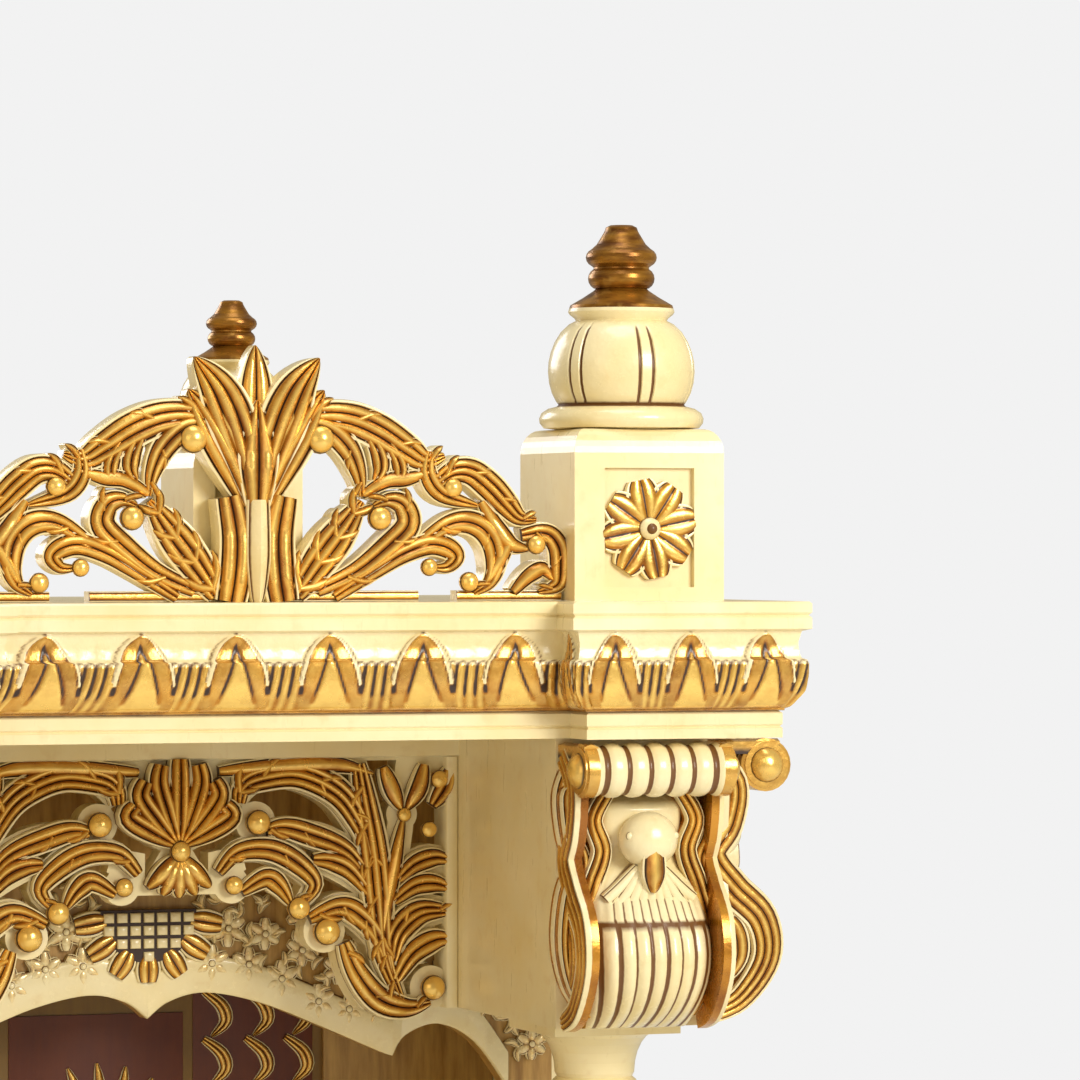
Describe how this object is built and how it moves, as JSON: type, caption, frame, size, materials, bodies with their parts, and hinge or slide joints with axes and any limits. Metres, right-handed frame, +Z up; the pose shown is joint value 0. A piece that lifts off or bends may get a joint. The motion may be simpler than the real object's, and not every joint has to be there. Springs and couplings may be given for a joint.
{
  "type": "wooden pooja mandir",
  "caption": "Carved wooden home shrine: moulded plinth, columns with swan corbels, cusped arch, leaf-moulded cornice, pierced crest and turrets with finials.",
  "frame": {"origin": "middle of the plinth's underside, on the floor", "axes": "+Z up, the open front faces -Y, +X to the right of someone who faces it"},
  "size_m": [1.008, 0.7, 1.445],
  "materials": {
    "cream_wood": "cream lacquer on wood",
    "gold_wood": "gold paint on carved wood",
    "antique_gold": "dark antique gold paint on turned wood",
    "painted_back": "olive, maroon and gold paint on board"
  },
  "bodies": {
    "root": {"plinth_foot": "cream_wood", "plinth_die_left": "cream_wood", "plinth_die_right": "cream_wood", "plinth_panel_front": "cream_wood", "plinth_panel_back": "cream_wood", "floor_deck": "cream_wood", "column_left": "cream_wood", "column_right": "cream_wood", "head_left": "cream_wood", "head_right": "cream_wood", "corbel_front_left": "cream_wood", "corbel_front_right": "cream_wood", "corbel_side_left": "cream_wood", "corbel_side_right": "cream_wood", "cheek_left": "cream_wood", "cheek_right": "cream_wood", "frieze": "cream_wood", "arch_valance": "cream_wood", "jamb_left": "cream_wood", "jamb_right": "cream_wood", "side_wall_left": "cream_wood", "side_wall_right": "cream_wood", "back_wall": "painted_back", "cornice_left": "cream_wood", "cornice_right": "cream_wood", "cornice_front": "cream_wood", "cornice_back": "cream_wood", "roof_deck": "cream_wood", "crest": "gold_wood", "turret_box_left": "cream_wood", "turret_box_right": "cream_wood", "turret_ball_left": "cream_wood", "turret_ball_right": "cream_wood", "finial_left": "antique_gold", "finial_right": "antique_gold", "middle_turret_box": "cream_wood", "middle_turret_ball": "cream_wood", "middle_finial": "antique_gold"}
  },
  "joints": []
}
